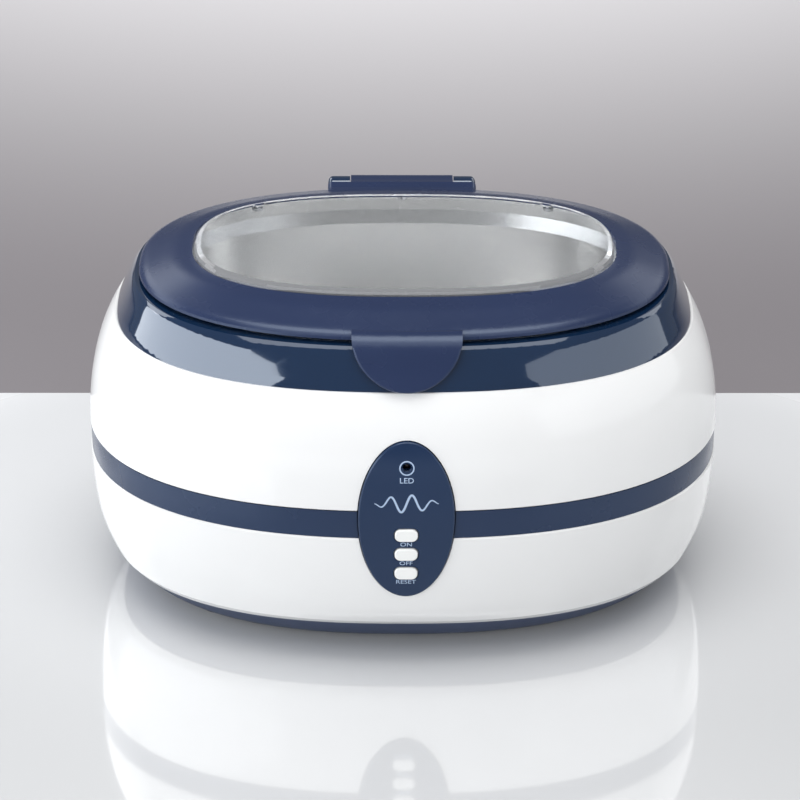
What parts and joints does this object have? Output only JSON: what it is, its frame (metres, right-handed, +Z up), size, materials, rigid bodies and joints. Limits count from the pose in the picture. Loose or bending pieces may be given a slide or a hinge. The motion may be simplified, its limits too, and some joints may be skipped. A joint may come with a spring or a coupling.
{
  "type": "ultrasonic cleaner",
  "caption": "Oval bench-top ultrasonic cleaner with a stainless tank, hinged lid with a clear window, belt trim and an oval push-button panel.",
  "frame": {"origin": "on the table, under the middle of the body", "axes": "+Z up, -Y towards the control panel, +X to the user's right facing the panel"},
  "size_m": [0.2054, 0.1479, 0.1163],
  "materials": {
    "base_navy": "satin moulded ABS",
    "belt_navy": "satin moulded ABS",
    "ring_navy": "polished moulded ABS",
    "lid_navy": "fine satin moulded ABS",
    "panel_navy": "semi-gloss moulded ABS",
    "white_shell": "polished moulded ABS",
    "button_white": "polished moulded ABS",
    "clear_plastic": "clear polished moulding",
    "stainless": "satin drawn stainless steel",
    "silicone": "translucent silicone bead",
    "rubber": "matt black",
    "zinc_steel": "zinc plated",
    "aluminium": "turned and extruded",
    "piezo": "fired, silvered faces",
    "brass": "tinned and bare brass",
    "circuit_board": "green solder mask",
    "black_plastic": "moulded nylon",
    "natural_nylon": "natural nylon",
    "ferrite": "ground ferrite",
    "winding": "taped and varnished copper winding",
    "capacitor_sleeve": "shrink sleeve",
    "capacitor_film": "dipped case",
    "fuse_glass": "glass barrel with nickel caps",
    "lead_insulation": "PVC insulation",
    "led_lens": "tinted epoxy lens",
    "legend_ink": "pad-printed ink"
  },
  "bodies": {
    "housing": {"base_plate": "base_navy", "base_screws": "zinc_steel", "belt_trim": "belt_navy", "can_capacitors": "capacitor_sleeve", "choke": "winding", "control_board": "circuit_board", "control_board_plug": "natural_nylon", "control_board_screws": "zinc_steel", "control_leads": "lead_insulation", "control_panel": "panel_navy", "diodes": "black_plastic", "electrodes": "brass", "film_capacitors": "capacitor_film", "fuse_clips": "brass", "fuse_tube": "fuse_glass", "headers": "natural_nylon", "heatsinks": "aluminium", "hinge_pin": "zinc_steel", "housing_screws": "zinc_steel", "inlet_pins": "brass", "insulating_sleeve": "black_plastic", "lower_shell": "white_shell", "main_board": "circuit_board", "main_board_screws": "zinc_steel", "mains_leads": "lead_insulation", "piezo_rings": "piezo", "power_inlet": "black_plastic", "power_led": "led_lens", "power_transistors": "black_plastic", "rubber_feet": "rubber", "switch_bodies": "black_plastic", "tank": "stainless", "tank_gasket": "silicone", "top_ring": "ring_navy", "transducer_back_mass": "zinc_steel", "transducer_bolt": "zinc_steel", "transducer_horn": "aluminium", "transducer_leads": "lead_insulation", "transformer_core": "ferrite", "transformer_winding": "winding", "upper_shell": "white_shell"},
    "lid": {"lid_frame": "lid_navy", "lid_window": "clear_plastic", "window_retainer": "lid_navy", "retainer_screws": "zinc_steel", "lid_bumpers": "rubber"},
    "button_on": {"button_on": "button_white", "plunger_on": "black_plastic"},
    "button_off": {"button_off": "button_white", "plunger_off": "black_plastic"},
    "button_reset": {"button_reset": "button_white", "plunger_reset": "black_plastic"}
  },
  "joints": [
    {"name": "lid_hinge", "type": "hinge", "parent": "housing", "child": "lid", "pos_m": [0, 0.0605, 0.1075], "axis": [-1, 0, 0], "range_deg": [0, 95]},
    {"name": "press_on", "type": "slide", "parent": "housing", "child": "button_on", "axis": [0, 1, 0], "range_m": [0, 0.0006], "stiffness_N_per_m": 3000, "springref_m": -0.0001},
    {"name": "press_off", "type": "slide", "parent": "housing", "child": "button_off", "axis": [0, 1, 0], "range_m": [0, 0.0006], "stiffness_N_per_m": 3000, "springref_m": -0.0001},
    {"name": "press_reset", "type": "slide", "parent": "housing", "child": "button_reset", "axis": [0, 1, 0], "range_m": [0, 0.0006], "stiffness_N_per_m": 3000, "springref_m": -0.0001}
  ]
}
